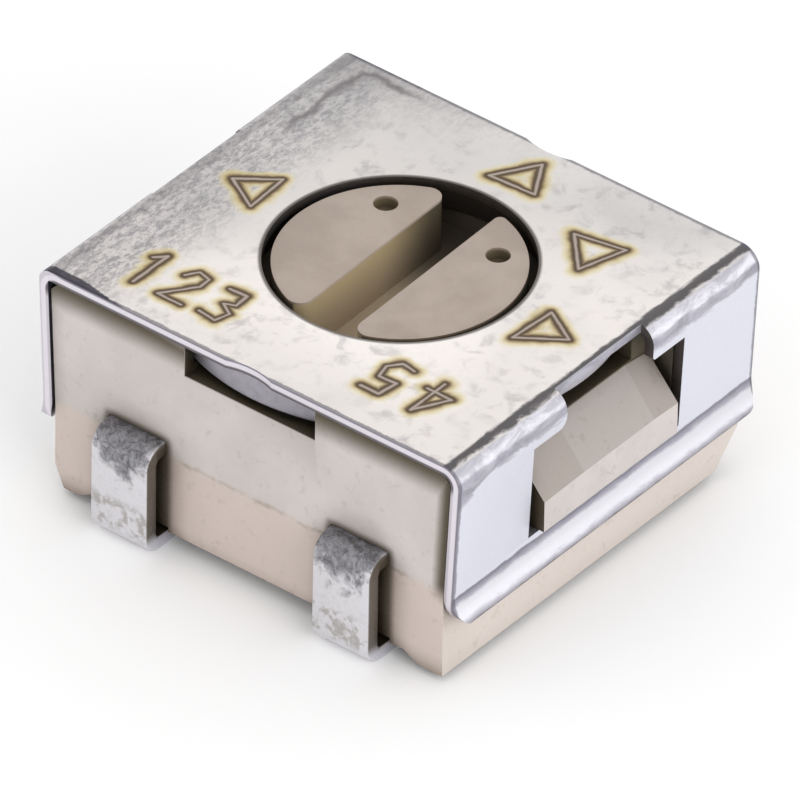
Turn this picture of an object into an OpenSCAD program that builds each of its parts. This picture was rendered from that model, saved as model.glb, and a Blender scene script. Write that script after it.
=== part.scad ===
/* [Cover] */
// Width of the folded cover over its two legs, along X
cover_w = 4.8; // [4.5:0.05:5.4]
// Depth of the cover between its two free edges, along Y
cover_d = 4.3; // [4.1:0.05:5]
// Thickness of the cover sheet
sheet_t = 0.1; // [0.08:0.01:0.12]
// Outer radius of the fold between top and leg
fold_r = 0.2; // [0.16:0.01:0.26]
// Inward lean of the legs in degrees
leg_lean = 2.6; // [1:0.2:3]
// Drop from the top face to the crease at which the leg turns out into its lip
leg_drop = 1.43; // [1.38:0.01:1.5]
// Length of the turned-out lip along the sheet
lip_len = 0.05; // [0.02:0.01:0.08]
// Angle of the lip out from the leg in degrees
lip_angle = 37; // [30:1:45]
// Radius of the lip's rounded corners
lip_corner_r = 0.2; // [0.1:0.01:0.22]
// Inner radius of the turn from leg to lip
lip_r = 0.37; // [0.3:0.01:0.4]
// Gap between the rotor and the edge of the hole in the cover
hole_gap = 0.115; // [0.08:0.005:0.14]
// Width of the shallow nick left in each free edge
nick_w = 0.52; // [0.3:0.02:0.8]
// Depth of the nick
nick_depth = 0.045; // [0.02:0.005:0.08]

/* [Leg window] */
// Width of the narrow upper part of the window
window_narrow_w = 1.24; // [1:0.01:1.4]
// Width of the wide lower part of the window
window_wide_w = 2.16; // [2.1:0.01:2.3]
// Reach of the window into the top plate, from the outer leg face
window_inset = 0.15; // [0.1:0.01:0.2]
// Drop of the window's shoulders below the top face
shoulder_drop = 0.35; // [0.32:0.01:0.4]
// Radius of the front shoulder's corner
shoulder_r = 0.1; // [0.04:0.01:0.12]
// Height of the window's lower edge above the crease
window_sill = 0.07; // [0.05:0.01:0.1]

/* [Housing] */
// Gap between the housing and each leg of the cover, at the crease
side_gap = 0.02; // [0.01:0.005:0.04]
// Set-back of the housing behind the cover's free edges
edge_set = 0.02; // [0:0.005:0.04]
// Height of the housing's underside above the seating plane
body_z = 0.16; // [0.15:0.01:0.2]
// Height by which the rails along both sides stand below the underside
rail_h = 0.09; // [0.04:0.01:0.1]
// Width of a rail's lower face
rail_w = 0.28; // [0.2:0.01:0.35]
// Width of the slope on a rail's inner side
rail_slope = 0.16; // [0.1:0.01:0.2]
// Chamfer of the housing's rear lower edge
rear_chamfer = 0.34; // [0.1:0.01:0.36]
// Width of the parting line's groove
parting_w = 0.02; // [0.01:0.005:0.03]
// Width of the ledge on which the bearing ring lies
ring_ledge = 0.35; // [0.3:0.01:0.4]
// Height of the cavity floor on which the element lies
floor_z = 1.15; // [1.14:0.01:1.2]
// Half width of the relief in the tops of the four walls
relief_half_w = 0.745; // [0.7:0.005:0.9]
// Depth of that relief below the bearing ring
relief_drop = 0.09; // [0.04:0.01:0.12]

/* [Snap wedge] */
// Gap between the snap wedge and each side of the window
wedge_side_gap = 0.1; // [0.06:0.01:0.2]
// Depth of the pocket behind the leg's window
pocket_depth = 0.17; // [0.12:0.01:0.2]
// Reach of the wedge beyond the leg's outer face at its height
wedge_proud = 0.05; // [0.02:0.01:0.08]
// Drop from the top face to the ramp's lower edge
ramp_drop = 1.0; // [0.9:0.01:1.1]
// Drop from the top face to the place where the ramp leaves the wall
ramp_top_drop = 0.62; // [0.48:0.01:0.7]
// Gap between the wedge's underside and the window's sill
snap_gap = 0.015; // [0.01:0.005:0.03]

/* [Bearing ring] */
// Set-back of the metal ring behind the housing's walls
ring_inset = 0.03; // [0.02:0.005:0.05]
// Gap between the metal ring and the rotor
ring_gap = 0.17; // [0.15:0.01:0.2]
// Thickness of the metal ring
ring_t = 0.27; // [0.24:0.01:0.3]

/* [Rotor] */
// Diameter of the rotor's face
rotor_d = 2.28; // [2.2:0.01:2.32]
// Thickness of the rotor's flange
flange_t = 0.41; // [0.38:0.01:0.5]
// Turn of the slot against the Y axis in degrees, as photographed
slot_turn = 1.5; // [0:0.5:3]
// Width of the screwdriver slot
slot_w = 0.55; // [0.45:0.01:0.65]
// Depth of the screwdriver slot
slot_depth = 0.6; // [0.4:0.01:0.65]
// Radius of the corners where the slot runs out through the rim
slot_end_r = 0.13; // [0.05:0.01:0.16]
// Diameter of the two blind marks on the face
mark_d = 0.19; // [0.15:0.01:0.24]
// Depth of the two blind marks
mark_depth = 0.12; // [0.05:0.01:0.2]
// Distance of the marks from the slot's middle
mark_x = 0.63; // [0.5:0.01:0.7]
// Distance of the marks from the rotor's axis along the slot
mark_y = 0.62; // [0.5:0.01:0.7]
// Running gap around the rotor's flange
run_gap = 0.05; // [0.04:0.005:0.06]
// Play of the rotor between ring and wiper
end_play = 0.02; // [0.015:0.005:0.03]
// Turn to each side before the stop is met, in degrees
half_travel = 120; // [110:1:125]
// Half angle of the rotor's stop lug in degrees
lug_half = 15; // [12:1:18]
// Gap between the stop lug and the wiper's tips
lug_gap = 0.03; // [0.02:0.005:0.05]
// Angle left between lug and stop at the end of the travel
stop_play = 0.5; // [0.3:0.1:1]

/* [Seal] */
// Diameter of the seal ring's section
seal_section = 0.26; // [0.24:0.01:0.27]
// Gap between the seal ring and the cavity wall
seal_gap = 0.02; // [0.01:0.005:0.03]

/* [Element] */
// Thickness of the ceramic element
element_t = 0.3; // [0.26:0.01:0.3]
// Gap around the ceramic element
element_gap = 0.03; // [0.02:0.005:0.05]
// Thickness of the fired track and pads
film_t = 0.02; // [0.01:0.005:0.02]
// Distance of the track's outer edge from the cavity wall
track_margin = 0.35; // [0.33:0.01:0.4]
// Width of the resistive track
track_w = 0.4; // [0.3:0.01:0.45]
// Radius of the collector disc in the middle
collector_r = 0.42; // [0.36:0.01:0.48]
// Angle that an end pad takes up
pad_span = 14; // [12:1:18]
// Width of the pad's edge round its silver fill
pad_edge = 0.03; // [0.02:0.005:0.04]
// Radius of the silver fills through the element
bond_r = 0.1; // [0.08:0.01:0.11]
// Distance of the two outer fills from the element's rim
bond_rim = 0.17; // [0.14:0.01:0.2]
// Distance of the outer fills from their terminals' middle lines
bond_inset = 0.25; // [0.2:0.01:0.28]

/* [Wiper] */
// Thickness of the wiper spring
wiper_t = 0.05; // [0.04:0.005:0.05]
// Height of the space for the wiper between film and rotor
wiper_space = 0.15; // [0.14:0.01:0.2]
// Radius of the wiper's hub
wiper_hub_r = 0.5; // [0.45:0.01:0.55]
// Number of fingers on the track
wiper_fingers = 4; // [3:1:5]
// Width of one finger
finger_w = 0.09; // [0.08:0.005:0.1]
// Gap between the wiper's tips and the film
tip_gap = 0.012; // [0.01:0.001:0.015]

/* [Terminals] */
// Distance between the two front terminals
pitch = 2.54; // [2.3:0.01:2.7]
// Width of a terminal
term_w = 0.7; // [0.6:0.01:0.75]
// Thickness of a terminal
term_t = 0.15; // [0.13:0.01:0.15]
// Distance of the terminal's outer face from the housing
term_reach = 0.27; // [0.25:0.01:0.32]
// Outer radius of the terminal's bends
term_bend_r = 0.2; // [0.18:0.01:0.24]
// Length of the foot that turns in under the housing
term_foot = 0.72; // [0.6:0.01:0.85]
// Reach of each terminal beyond its silver fill
term_past = 0.03; // [0.02:0.01:0.1]
// Gap between the foot and its pocket in the underside
term_pocket_gap = 0.03; // [0.02:0.005:0.04]

/* [Hidden] */

// Fineness of turned faces and of folds
$fn = 96;
fold_steps = 12;
// Overlap of cutting shapes past the faces that they cut
cut = 0.05;

steel_colour = "#d4d5dd";
resin_colour = "#cdc6ba";
rotor_colour = "#b7b0a2";
tin_colour = "#c3c5cc";
ceramic_colour = "#f1efe9";
silver_colour = "#c8c6c0";
track_colour = "#2b2a2a";

// Heights of the stack, from the cavity's floor to the top face
element_top = floor_z + element_t;
film_top = element_top + film_t;
flange_z = film_top + wiper_space;
flange_top = flange_z + flange_t;
ring_z = flange_top + end_play;
sheet_under = ring_z + ring_t;
cover_top = sheet_under + sheet_t;

// Heights on the cover, its window and the snap wedge
lip_z = cover_top - leg_drop;
sill_z = lip_z + window_sill;
shoulder_z = cover_top - shoulder_drop;
ramp_z = cover_top - ramp_drop;
ramp_top_z = cover_top - ramp_top_drop;

// Lowest point of the lip, whose end is round
lip_end_z = lip_z - (lip_r + sheet_t / 2) * sin(lip_angle) - lip_len * cos(lip_angle) - sheet_t / 2;

// Outer line of the cover's leg, half the width at a height
function leg_x(z) = cover_w / 2 - (cover_top - fold_r - z) * tan(leg_lean);

// Widths from the cover inwards to the cavity
body_w = 2 * (leg_x(lip_z) - sheet_t - side_gap);
body_d = cover_d - 2 * edge_set;
ring_d = min(body_w, body_d) - 2 * ring_inset;
cavity_r = ring_d / 2 - ring_ledge;
flange_r = cavity_r - run_gap;
rotor_r = rotor_d / 2;
hole_d = rotor_d + 2 * hole_gap;
wedge_w = window_wide_w - 2 * wedge_side_gap;

// Places on the element
element_r = cavity_r - element_gap;
track_r = cavity_r - track_margin - track_w / 2;
lug_r = cavity_r - track_margin + wiper_t + lug_gap;
bond_place_r = element_r - bond_rim;
bond_angle = asin((pitch / 2 - bond_inset) / bond_place_r);
track_gap_angle = 2 * bond_angle + pad_span;

// Terminals: the strip's top face, its underside on the parting line, and its outer face
term_top = floor_z;
parting_z = term_top - term_t;
term_face_y = body_d / 2 + term_reach;

// Places of the three terminals: [x, turn about Z, length inside the housing]
front_embed = body_d / 2 - bond_place_r * cos(bond_angle) + bond_r + term_past;
front_left = [-pitch / 2, 0, front_embed];
front_right = [pitch / 2, 0, front_embed];
rear_middle = [0, 180, body_d / 2 + bond_r + term_past];

// Points of an arc from angle a to b about a centre
function arc(centre, r, a, b, steps) =
    [for (i = [0:steps]) let (t = a + (b - a) * i / steps)
        [centre[0] + r * cos(t), centre[1] + r * sin(t)]];

// Direction of the left-hand normal at point i of a path
function path_normal(p, i) =
    let (before = p[max(i - 1, 0)], after = p[min(i + 1, len(p) - 1)],
         d = after - before, length = norm(d))
    [-d[1] / length, d[0] / length];

// Outline of a strip of thickness t on the left of a path
function strip_outline(p, t) =
    concat(p, [for (i = [len(p) - 1:-1:0]) p[i] + t * path_normal(p, i)]);

// Outer line of the cover's right half in the XZ plane, from the middle of the top to the lip
function cover_line() =
    let (fold_end = -leg_lean, crease_x = leg_x(lip_z))
    concat(
        [[0, cover_top]],
        arc([cover_w / 2 - fold_r, cover_top - fold_r], fold_r, 90, fold_end, fold_steps),
        arc([crease_x + lip_r * cos(leg_lean), lip_z], lip_r,
            180 - leg_lean, 180 + lip_angle, fold_steps / 2),
        [[crease_x + lip_r * (cos(leg_lean) - cos(lip_angle)) + lip_len * sin(lip_angle),
          lip_z - lip_r * sin(lip_angle) - lip_len * cos(lip_angle)]]);

// Half of the folded sheet, before its holes are cut
module cover_half() {
    line = cover_line();
    last = len(line) - 1;
    rotate([90, 0, 0])
        translate([0, 0, -cover_d / 2])
            linear_extrude(cover_d) {
                polygon(strip_outline(line, -sheet_t));
                translate(line[last] - sheet_t / 2 * path_normal(line, last))
                    circle(d = sheet_t, $fn = 32);
            }
}

// T-shaped opening through the leg and the fold
module leg_window() {
    start_x = cover_w / 2 - window_inset;
    inner_x = body_w / 2 - cut;
    translate([inner_x, -window_wide_w / 2, sill_z])
        cube([cover_w / 2 - inner_x + cut, window_wide_w, shoulder_z - sill_z]);
    translate([inner_x, -window_narrow_w / 2, shoulder_z - cut])
        cube([cover_w / 2 - inner_x + cut, window_narrow_w, sheet_under - shoulder_z + cut]);
    translate([start_x, -window_narrow_w / 2, sheet_under - cut])
        cube([window_inset + cut, window_narrow_w, sheet_t + 2 * cut]);
    translate([inner_x, -window_narrow_w / 2, shoulder_z])
        rotate([90, 0, 90])
            linear_extrude(cover_w / 2 - inner_x + cut)
                difference() {
                    translate([-shoulder_r, -cut]) square([shoulder_r + cut, shoulder_r + cut]);
                    translate([-shoulder_r, shoulder_r]) circle(r = shoulder_r);
                    translate([-2 * shoulder_r, shoulder_r]) square(3 * shoulder_r);
                }
}

// Corner pieces cut off the lip so that its ends are round
module lip_corner() {
    translate([cover_w / 2 - 2 * fold_r, cover_d / 2 - lip_corner_r, lip_end_z])
        difference() {
            translate([0, 0, -cut]) cube([3 * fold_r, lip_corner_r + cut, lip_corner_r + cut]);
            translate([-cut, 0, lip_corner_r])
                rotate([0, 90, 0])
                    cylinder(r = lip_corner_r, h = 3 * fold_r + 2 * cut);
        }
}

module nick() {
    nick_r = (pow(nick_w / 2, 2) + pow(nick_depth, 2)) / (2 * nick_depth);
    translate([0, cover_d / 2 + nick_r - nick_depth, sheet_under - cut])
        cylinder(r = nick_r, h = sheet_t + 2 * cut);
}

module cover() {
    color(steel_colour)
        difference() {
            union() {
                cover_half();
                mirror([1, 0, 0]) cover_half();
            }
            translate([0, 0, sheet_under - cut])
                cylinder(d = hole_d, h = sheet_t + 2 * cut);
            for (side = [0, 1]) {
                mirror([side, 0, 0]) leg_window();
                mirror([0, side, 0]) nick();
                for (end = [0, 1]) mirror([side, 0, 0]) mirror([0, end, 0]) lip_corner();
            }
        }
}

module bearing_ring() {
    color(steel_colour)
        translate([0, 0, ring_z])
            difference() {
                cylinder(d = ring_d, h = ring_t);
                translate([0, 0, -cut])
                    cylinder(r = rotor_r + ring_gap, h = ring_t + 2 * cut);
            }
}

// Sector of a ring between two angles
module ring_sector(r_in, r_out, a, b, h) {
    rotate([0, 0, a])
        rotate_extrude(angle = b - a)
            translate([r_in, 0])
                square([r_out - r_in, h]);
}

// Outline of the snap wedge in the XZ plane, on the right-hand side
module snap_wedge() {
    root_x = body_w / 2 - pocket_depth - cut;
    wall_x = body_w / 2 - pocket_depth;
    tip_x = leg_x(ramp_z) + wedge_proud;
    base_z = sill_z + snap_gap;
    translate([0, wedge_w / 2, 0])
        rotate([90, 0, 0])
            linear_extrude(wedge_w)
                polygon([[root_x, base_z], [tip_x, base_z], [tip_x, ramp_z],
                         [wall_x, ramp_top_z], [root_x, ramp_top_z]]);
}

// Right half of the housing's section in the XZ plane: rail, side that leans like the leg, top edge
function housing_line() =
    let (x = body_w / 2, fold_z = cover_top - fold_r, wall_x = leg_x(fold_z) - sheet_t - side_gap)
    [[x - rail_w - rail_slope, body_z], [x - rail_w, body_z - rail_h], [x, body_z - rail_h],
     [x, parting_z - 2 * parting_w], [wall_x, fold_z], [wall_x - (sheet_under - fold_z), sheet_under]];

// Block of the housing, before its hollows are cut
module housing_block() {
    half = housing_line();
    rotate([90, 0, 0])
        translate([0, 0, -body_d / 2])
            linear_extrude(body_d)
                polygon(concat(half, [for (i = [len(half) - 1:-1:0]) [-half[i][0], half[i][1]]]));
}

// Pocket in the housing's side behind the window
module side_pocket() {
    translate([body_w / 2 - pocket_depth, -window_wide_w / 2, sill_z])
        cube([pocket_depth + fold_r, window_wide_w, sheet_under - sill_z + cut]);
}

// Space that a terminal takes up in the housing, with the pocket for its foot
module terminal_space(place) {
    translate([-term_w / 2, -body_d / 2 - cut, term_top - term_t])
        cube([term_w, place[2] + cut, term_t]);
    translate([-term_w / 2 - term_pocket_gap, -body_d / 2 - cut, 0])
        cube([term_w + 2 * term_pocket_gap,
              term_foot - term_reach + term_pocket_gap + cut,
              max(body_z, term_t + term_pocket_gap) + term_pocket_gap]);
}

module at_terminal(place) {
    rotate([0, 0, place[1]]) translate([place[0], 0, 0]) children();
}

module stop_block() {
    block_half = 180 - half_travel - lug_half - stop_play;
    translate([0, 0, film_top + 2 * tip_gap])
        ring_sector(lug_r, cavity_r + cut, -90 - block_half, -90 + block_half,
                    flange_z - film_top - 4 * tip_gap);
}

module housing() {
    color(resin_colour)
        difference() {
            union() {
                difference() {
                    housing_block();
                    translate([0, 0, floor_z])
                        cylinder(r = cavity_r, h = cover_top);
                    translate([0, 0, ring_z])
                        cylinder(d = ring_d + 2 * element_gap, h = cover_top);
                    for (turn = [0, 90])
                        rotate([0, 0, turn])
                            translate([-relief_half_w, -cover_w / 2, ring_z - relief_drop])
                                cube([2 * relief_half_w, cover_w, cover_top]);
                    for (side = [0, 1]) mirror([side, 0, 0]) side_pocket();
                }
                for (side = [0, 1]) mirror([side, 0, 0]) snap_wedge();
                stop_block();
            }
            for (place = [front_left, front_right, rear_middle])
                at_terminal(place) terminal_space(place);
            translate([-body_w / 2 - cut, body_d / 2, body_z - rail_h])
                rotate([45, 0, 0])
                    translate([0, -rear_chamfer * sqrt(0.5), -rear_chamfer])
                        cube([body_w + 2 * cut, 2 * rear_chamfer, rear_chamfer * (1 + sqrt(0.5))]);
            translate([-body_w / 2 - cut, -body_d / 2 - cut, parting_z - parting_w / 2])
                cube([body_w + 2 * cut, cut + parting_w / 2, parting_w]);
        }
}

// Rotor face with its slot and marks, upright about Z, before it is turned to its rest
module rotor() {
    color(rotor_colour)
        rotate([0, 0, slot_turn])
            difference() {
                union() {
                    translate([0, 0, flange_z])
                        cylinder(r = flange_r, h = flange_t);
                    translate([0, 0, flange_z])
                        cylinder(r = rotor_r, h = cover_top - flange_z);
                    translate([0, 0, film_top + 2 * tip_gap])
                        rotate([0, 0, -slot_turn])
                            ring_sector(lug_r, flange_r, 90 - lug_half, 90 + lug_half,
                                        flange_z - film_top - 2 * tip_gap + cut);
                }
                translate([0, 0, flange_z + flange_t / 2])
                    rotate_extrude()
                        translate([cavity_r - seal_gap - seal_section, -seal_section / 2 - tip_gap])
                            square([seal_section + cut, seal_section + 2 * tip_gap]);
                translate([0, 0, cover_top - slot_depth])
                    linear_extrude(slot_depth + cut)
                        for (end = [0, 1]) mirror([0, end]) polygon(slot_half_plan());
                for (side = [-1, 1])
                    translate([side * mark_x, mark_y, cover_top - mark_depth])
                        cylinder(d = mark_d, h = mark_depth + cut);
            }
}

// Half of the slot in plan, with round corners where it runs out through the rim
function slot_half_plan() =
    let (x = slot_w / 2 + slot_end_r,
         y = sqrt(pow(rotor_r - slot_end_r, 2) - pow(x, 2)),
         corner = arc([x, y], slot_end_r, 180, atan2(y, x), fold_steps),
         out = corner[fold_steps] * (rotor_r + cut / 2) / rotor_r)
    concat([[slot_w / 2, -cut]], corner, [out, [-out[0], out[1]]],
           [for (i = [fold_steps:-1:0]) [-corner[i][0], corner[i][1]]], [[-slot_w / 2, -cut]]);

module o_ring() {
    color("#3b3a38")
        translate([0, 0, flange_z + flange_t / 2])
            rotate_extrude()
                translate([cavity_r - seal_gap - seal_section / 2, 0])
                    circle(d = seal_section, $fn = 48);
}

// Spring with a hub under the rotor, arms to the track and a dimple on the collector
module wiper() {
    tip_z = film_top + tip_gap;
    plate_z = flange_z - wiper_t;
    reach = track_r + track_w / 4;
    spread = finger_w * 1.45;
    color("#c9b27c") {
        translate([0, 0, plate_z]) cylinder(r = wiper_hub_r, h = wiper_t);
        translate([0, 0, tip_z]) cylinder(r1 = wiper_t, r2 = wiper_hub_r / 3, h = plate_z - tip_z + wiper_t / 2);
        for (i = [0:wiper_fingers - 1])
            translate([(i - (wiper_fingers - 1) / 2) * spread - finger_w / 2, 0, 0])
                rotate([90, 0, 90])
                    linear_extrude(finger_w)
                        polygon([[wiper_hub_r / 2, plate_z], [wiper_hub_r, plate_z],
                                 [reach - wiper_t, tip_z], [reach, tip_z], [reach + wiper_t, plate_z],
                                 [reach, plate_z], [reach - wiper_t / 2, tip_z + wiper_t],
                                 [wiper_hub_r, plate_z + wiper_t], [wiper_hub_r / 2, plate_z + wiper_t]]);
    }
}

// Places of the three bonds, each over its terminal: [radius, angle]
module at_bond(side) {
    rotate([0, 0, side * bond_angle - 90])
        translate([side == 0 ? 0 : bond_place_r, 0, 0])
            children();
}

module element_substrate() {
    color(ceramic_colour)
        difference() {
            translate([0, 0, floor_z])
                cylinder(r = element_r, h = element_t);
            for (side = [-1:1])
                at_bond(side)
                    translate([0, 0, floor_z - cut])
                        cylinder(r = bond_r, h = element_t + 2 * cut);
        }
}

module resistive_track() {
    color(track_colour)
        translate([0, 0, element_top])
            ring_sector(track_r - track_w / 2, track_r + track_w / 2,
                        -90 + track_gap_angle / 2, 270 - track_gap_angle / 2, film_t);
}

module collector_track() {
    color(silver_colour)
        translate([0, 0, element_top])
            cylinder(r = collector_r, h = film_t);
}

// Silver pad that takes one end of the track out to its bond
module end_pad(side) {
    color(silver_colour)
        translate([0, 0, element_top])
            rotate([0, 0, side * bond_angle - 90])
                ring_sector(track_r - track_w / 2, bond_place_r + bond_r + pad_edge,
                            -pad_span / 2, pad_span / 2, film_t);
}

// Silver fill that joins a pad to the terminal below the element
module bond(side) {
    color(silver_colour)
        at_bond(side)
            translate([0, 0, floor_z])
                cylinder(r = bond_r, h = element_t);
}

module pad_start() { end_pad(-1); }
module pad_end() { end_pad(1); }
module bond_start() { bond(-1); }
module bond_end() { bond(1); }
module bond_wiper() { bond(0); }

// Strip of a J-shaped terminal in the YZ plane, on the housing's front side
function terminal_line(embed) =
    let (y_face = -term_face_y, r = term_bend_r)
    concat(
        [[-body_d / 2 + embed, term_top]],
        arc([y_face + r, term_top - r], r, 90, 180, fold_steps),
        arc([y_face + r, r], r, 180, 270, fold_steps),
        [[y_face + term_foot, 0]]);

module terminal(place) {
    color(tin_colour)
        at_terminal(place)
            translate([-term_w / 2, 0, 0])
                rotate([90, 0, 90])
                    linear_extrude(term_w)
                        polygon(strip_outline(terminal_line(place[2]), term_t));
}

module terminal_start() { terminal(front_left); }
module terminal_end() { terminal(front_right); }
module terminal_wiper() { terminal(rear_middle); }

cover();
bearing_ring();
rotor();
o_ring();
wiper();
housing();
element_substrate();
resistive_track();
collector_track();
pad_start();
pad_end();
bond_start();
bond_end();
bond_wiper();
terminal_start();
terminal_end();
terminal_wiper();
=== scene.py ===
import math

import bmesh
import bpy
from mathutils import Matrix, Vector


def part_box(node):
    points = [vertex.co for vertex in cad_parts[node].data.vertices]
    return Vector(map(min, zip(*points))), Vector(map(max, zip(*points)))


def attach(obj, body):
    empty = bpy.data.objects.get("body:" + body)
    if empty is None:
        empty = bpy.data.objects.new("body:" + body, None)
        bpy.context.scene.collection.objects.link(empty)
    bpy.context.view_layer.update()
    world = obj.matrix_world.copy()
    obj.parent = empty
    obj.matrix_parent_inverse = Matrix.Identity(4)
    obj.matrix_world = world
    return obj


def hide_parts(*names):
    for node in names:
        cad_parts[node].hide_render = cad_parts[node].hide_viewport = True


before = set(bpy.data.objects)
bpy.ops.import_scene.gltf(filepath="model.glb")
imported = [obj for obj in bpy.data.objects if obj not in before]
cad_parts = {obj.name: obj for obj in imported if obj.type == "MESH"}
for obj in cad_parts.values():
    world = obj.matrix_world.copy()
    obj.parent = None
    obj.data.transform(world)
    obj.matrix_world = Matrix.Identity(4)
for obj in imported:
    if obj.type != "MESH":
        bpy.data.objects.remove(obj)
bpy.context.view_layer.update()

# Sizes below are in millimetres, and a finished mesh is scaled to metres at the end
MM = 0.001


def node_box(name):
    """Lowest and highest corner of a CAD node, in millimetres."""
    low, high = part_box(name)
    return low / MM, high / MM


# Main heights and widths, read from the frame
COVER_HIGH = node_box("cover")[1]
RING_LOW, RING_HIGH = node_box("bearing_ring")
ROTOR_LOW, ROTOR_HIGH = node_box("rotor")
FRONT_TERMINAL_HIGH = node_box("terminal_end")[1]
TOP = COVER_HIGH.z
UNDER = RING_HIGH.z
SHEET = TOP - UNDER

# The cover
COVER_W = 4.8
COVER_EDGE = 0.014
FOLD_R = 0.2
LEFT_FOLD_R = 0.12
LEG_LEAN = math.radians(2.6)
LEG_DROP = 1.43
LIP_R = 0.37
LIP_LEN = 0.02
LIP_ANGLE = math.radians(37)
LIP_CORNER_R = 0.26
HOLE_R = 1.24
NICK_W = 0.52
NICK_DEPTH = 0.045
WINDOW_NARROW_W = 1.24
WINDOW_WIDE_W = 2.16
WINDOW_INSET = 0.15
LEFT_WINDOW_INSET = 0.07
SHOULDER_DROP = 0.35
SHOULDER_R = 0.1
SHOULDER_FAR_R = 0.04
WINDOW_SILL = 0.07

# The housing
HOUSING_EDGE = 0.02
SIDE_GAP = 0.02
WALL_SET = 0.02
BODY_Z = 0.16
RAIL_H = 0.09
RAIL_W = 0.28
RAIL_SLOPE = 0.16
REAR_CHAMFER = 0.34
PARTING_Z = 1.0
BEND_DROP = 0.04
CHIP_W = 0.15
CHIP_H = 0.4
CAVITY_R = 1.75
FLOOR_Z = 1.15
RELIEF_HALF_W = 0.745
RELIEF_DROP = 0.065
SIDE_RELIEF_DROP = 0.19
WEDGE_NEAR = -0.94
WEDGE_FAR = 0.98
WEDGE_END_DROP = 0.04
RAMP_CREASE_NEAR = -0.37
RAMP_CREASE_FAR = 0.64
POCKET_DEPTH = 0.17
WEDGE_PROUD = 0.05
RAMP_DROP = 1.0
RAMP_TOP_DROP = 0.56
SNAP_GAP = 0.015

# The bearing ring
RING_EDGE = 0.035
RING_GAP = 0.03
BORE_R = 1.31

# The rotor
ROTOR_EDGE = 0.018
ROTOR_R = 1.155
ROTOR_TOP = ROTOR_HIGH.z - 0.03
FLANGE_TOP = RING_LOW.z - 0.02
FLANGE_R = ROTOR_HIGH.x
FLANGE_T = 0.41
FLANGE_OVERLAP = 0.3
GROOVE_HALF_H = 0.142
GROOVE_DEPTH = 0.28
LUG_HALF_ANGLE = math.radians(15)
LUG_R = CAVITY_R - 0.27
LUG_OVERLAP = 0.01
SLOT_TURN = math.radians(1.5)
SLOT_W = 0.55
SLOT_DEPTH = 0.6
SLOT_END_R = 0.13
SLOT_TIGHT_R = 0.06
SLOT_REACH = 1.25
MARK_R = 0.115
MARK_DEPTH = 0.12
MARK_X = 0.63
MARK_Y = 0.62

# The terminals
TERM_EDGE = 0.025
PITCH = 2.54
TERM_W = 0.65
TERM_T = 0.15
TERM_REACH = 0.27
TERM_BEND_R = 0.2
TERM_FOOT = 0.72
TERM_GAP = 0.03
FOOT_ROOM = 0.06
SLIT_DEPTH = 0.4
REAR_EMBED = 0.13

# How far a cutting piece reaches past what it cuts
CUT = 0.05


# Mesh helpers

def new_object(name, mesh):
    obj = bpy.data.objects.new(name, mesh)
    bpy.context.scene.collection.objects.link(obj)
    return obj


def object_from(name, verts, faces):
    mesh = bpy.data.meshes.new(name)
    mesh.from_pydata([tuple(v) for v in verts], [], faces)
    mesh.validate()
    mesh.update()
    obj = new_object(name, mesh)
    fix_normals(obj)
    return obj


def fix_normals(obj):
    bm = bmesh.new()
    bm.from_mesh(obj.data)
    bmesh.ops.recalc_face_normals(bm, faces=bm.faces)
    bm.to_mesh(obj.data)
    bm.free()


def placed(a, b, c, plane):
    """Point (a, b) of a plane, at c along the plane's third axis."""
    return {"XY": (a, b, c), "XZ": (a, c, b), "YZ": (c, a, b)}[plane]


def prism(name, outline, low, high, plane="XY"):
    """Closed prism of an outline, pulled along the third axis of its plane."""
    n = len(outline)
    verts = [placed(a, b, c, plane) for c in (low, high) for a, b in outline]
    faces = [tuple(range(n)), tuple(range(2 * n - 1, n - 1, -1))]
    faces += [(i, (i + 1) % n, n + (i + 1) % n, n + i) for i in range(n)]
    return object_from(name, verts, faces)


def block(name, low, high):
    (x0, y0, z0), (x1, y1, z1) = low, high
    return prism(name, [(x0, y0), (x1, y0), (x1, y1), (x0, y1)], z0, z1)


def disc(name, r, low, high, centre=(0, 0), steps=192):
    return prism(name, arc(centre, r, 0, 2 * math.pi * (1 - 1 / steps), steps - 1), low, high)


def arc(centre, r, start, end, steps):
    angles = [start + (end - start) * i / steps for i in range(steps + 1)]
    return [(centre[0] + r * math.cos(a), centre[1] + r * math.sin(a)) for a in angles]


def strip_outline(path, t):
    """Outline of a strip of thickness t on the right of a path."""
    other = []
    for i, p in enumerate(path):
        a, b = Vector(path[max(i - 1, 0)]), Vector(path[min(i + 1, len(path) - 1)])
        d = (b - a).normalized()
        other.append((p[0] + t * d.y, p[1] - t * d.x))
    return path + other[::-1]


def apply_modifiers(obj):
    depsgraph = bpy.context.evaluated_depsgraph_get()
    mesh = bpy.data.meshes.new_from_object(obj.evaluated_get(depsgraph))
    obj.modifiers.clear()
    old = obj.data
    obj.data = mesh
    bpy.data.meshes.remove(old)


def boolean(obj, tools, operation):
    for tool in tools:
        mod = obj.modifiers.new("cut", "BOOLEAN")
        mod.operation = operation
        mod.solver = "EXACT"
        mod.object = tool
    apply_modifiers(obj)
    for tool in tools:
        mesh = tool.data
        bpy.data.objects.remove(tool)
        bpy.data.meshes.remove(mesh)
    return obj


def cut_out(obj, *tools):
    return boolean(obj, tools, "DIFFERENCE")


def join_on(obj, *tools):
    return boolean(obj, tools, "UNION")


def mirrored(tool, name, x=1, y=1):
    obj = new_object(name, tool.data.copy())
    obj.data.transform(Matrix.Diagonal((x, y, 1, 1)))
    fix_normals(obj)
    return obj


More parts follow.
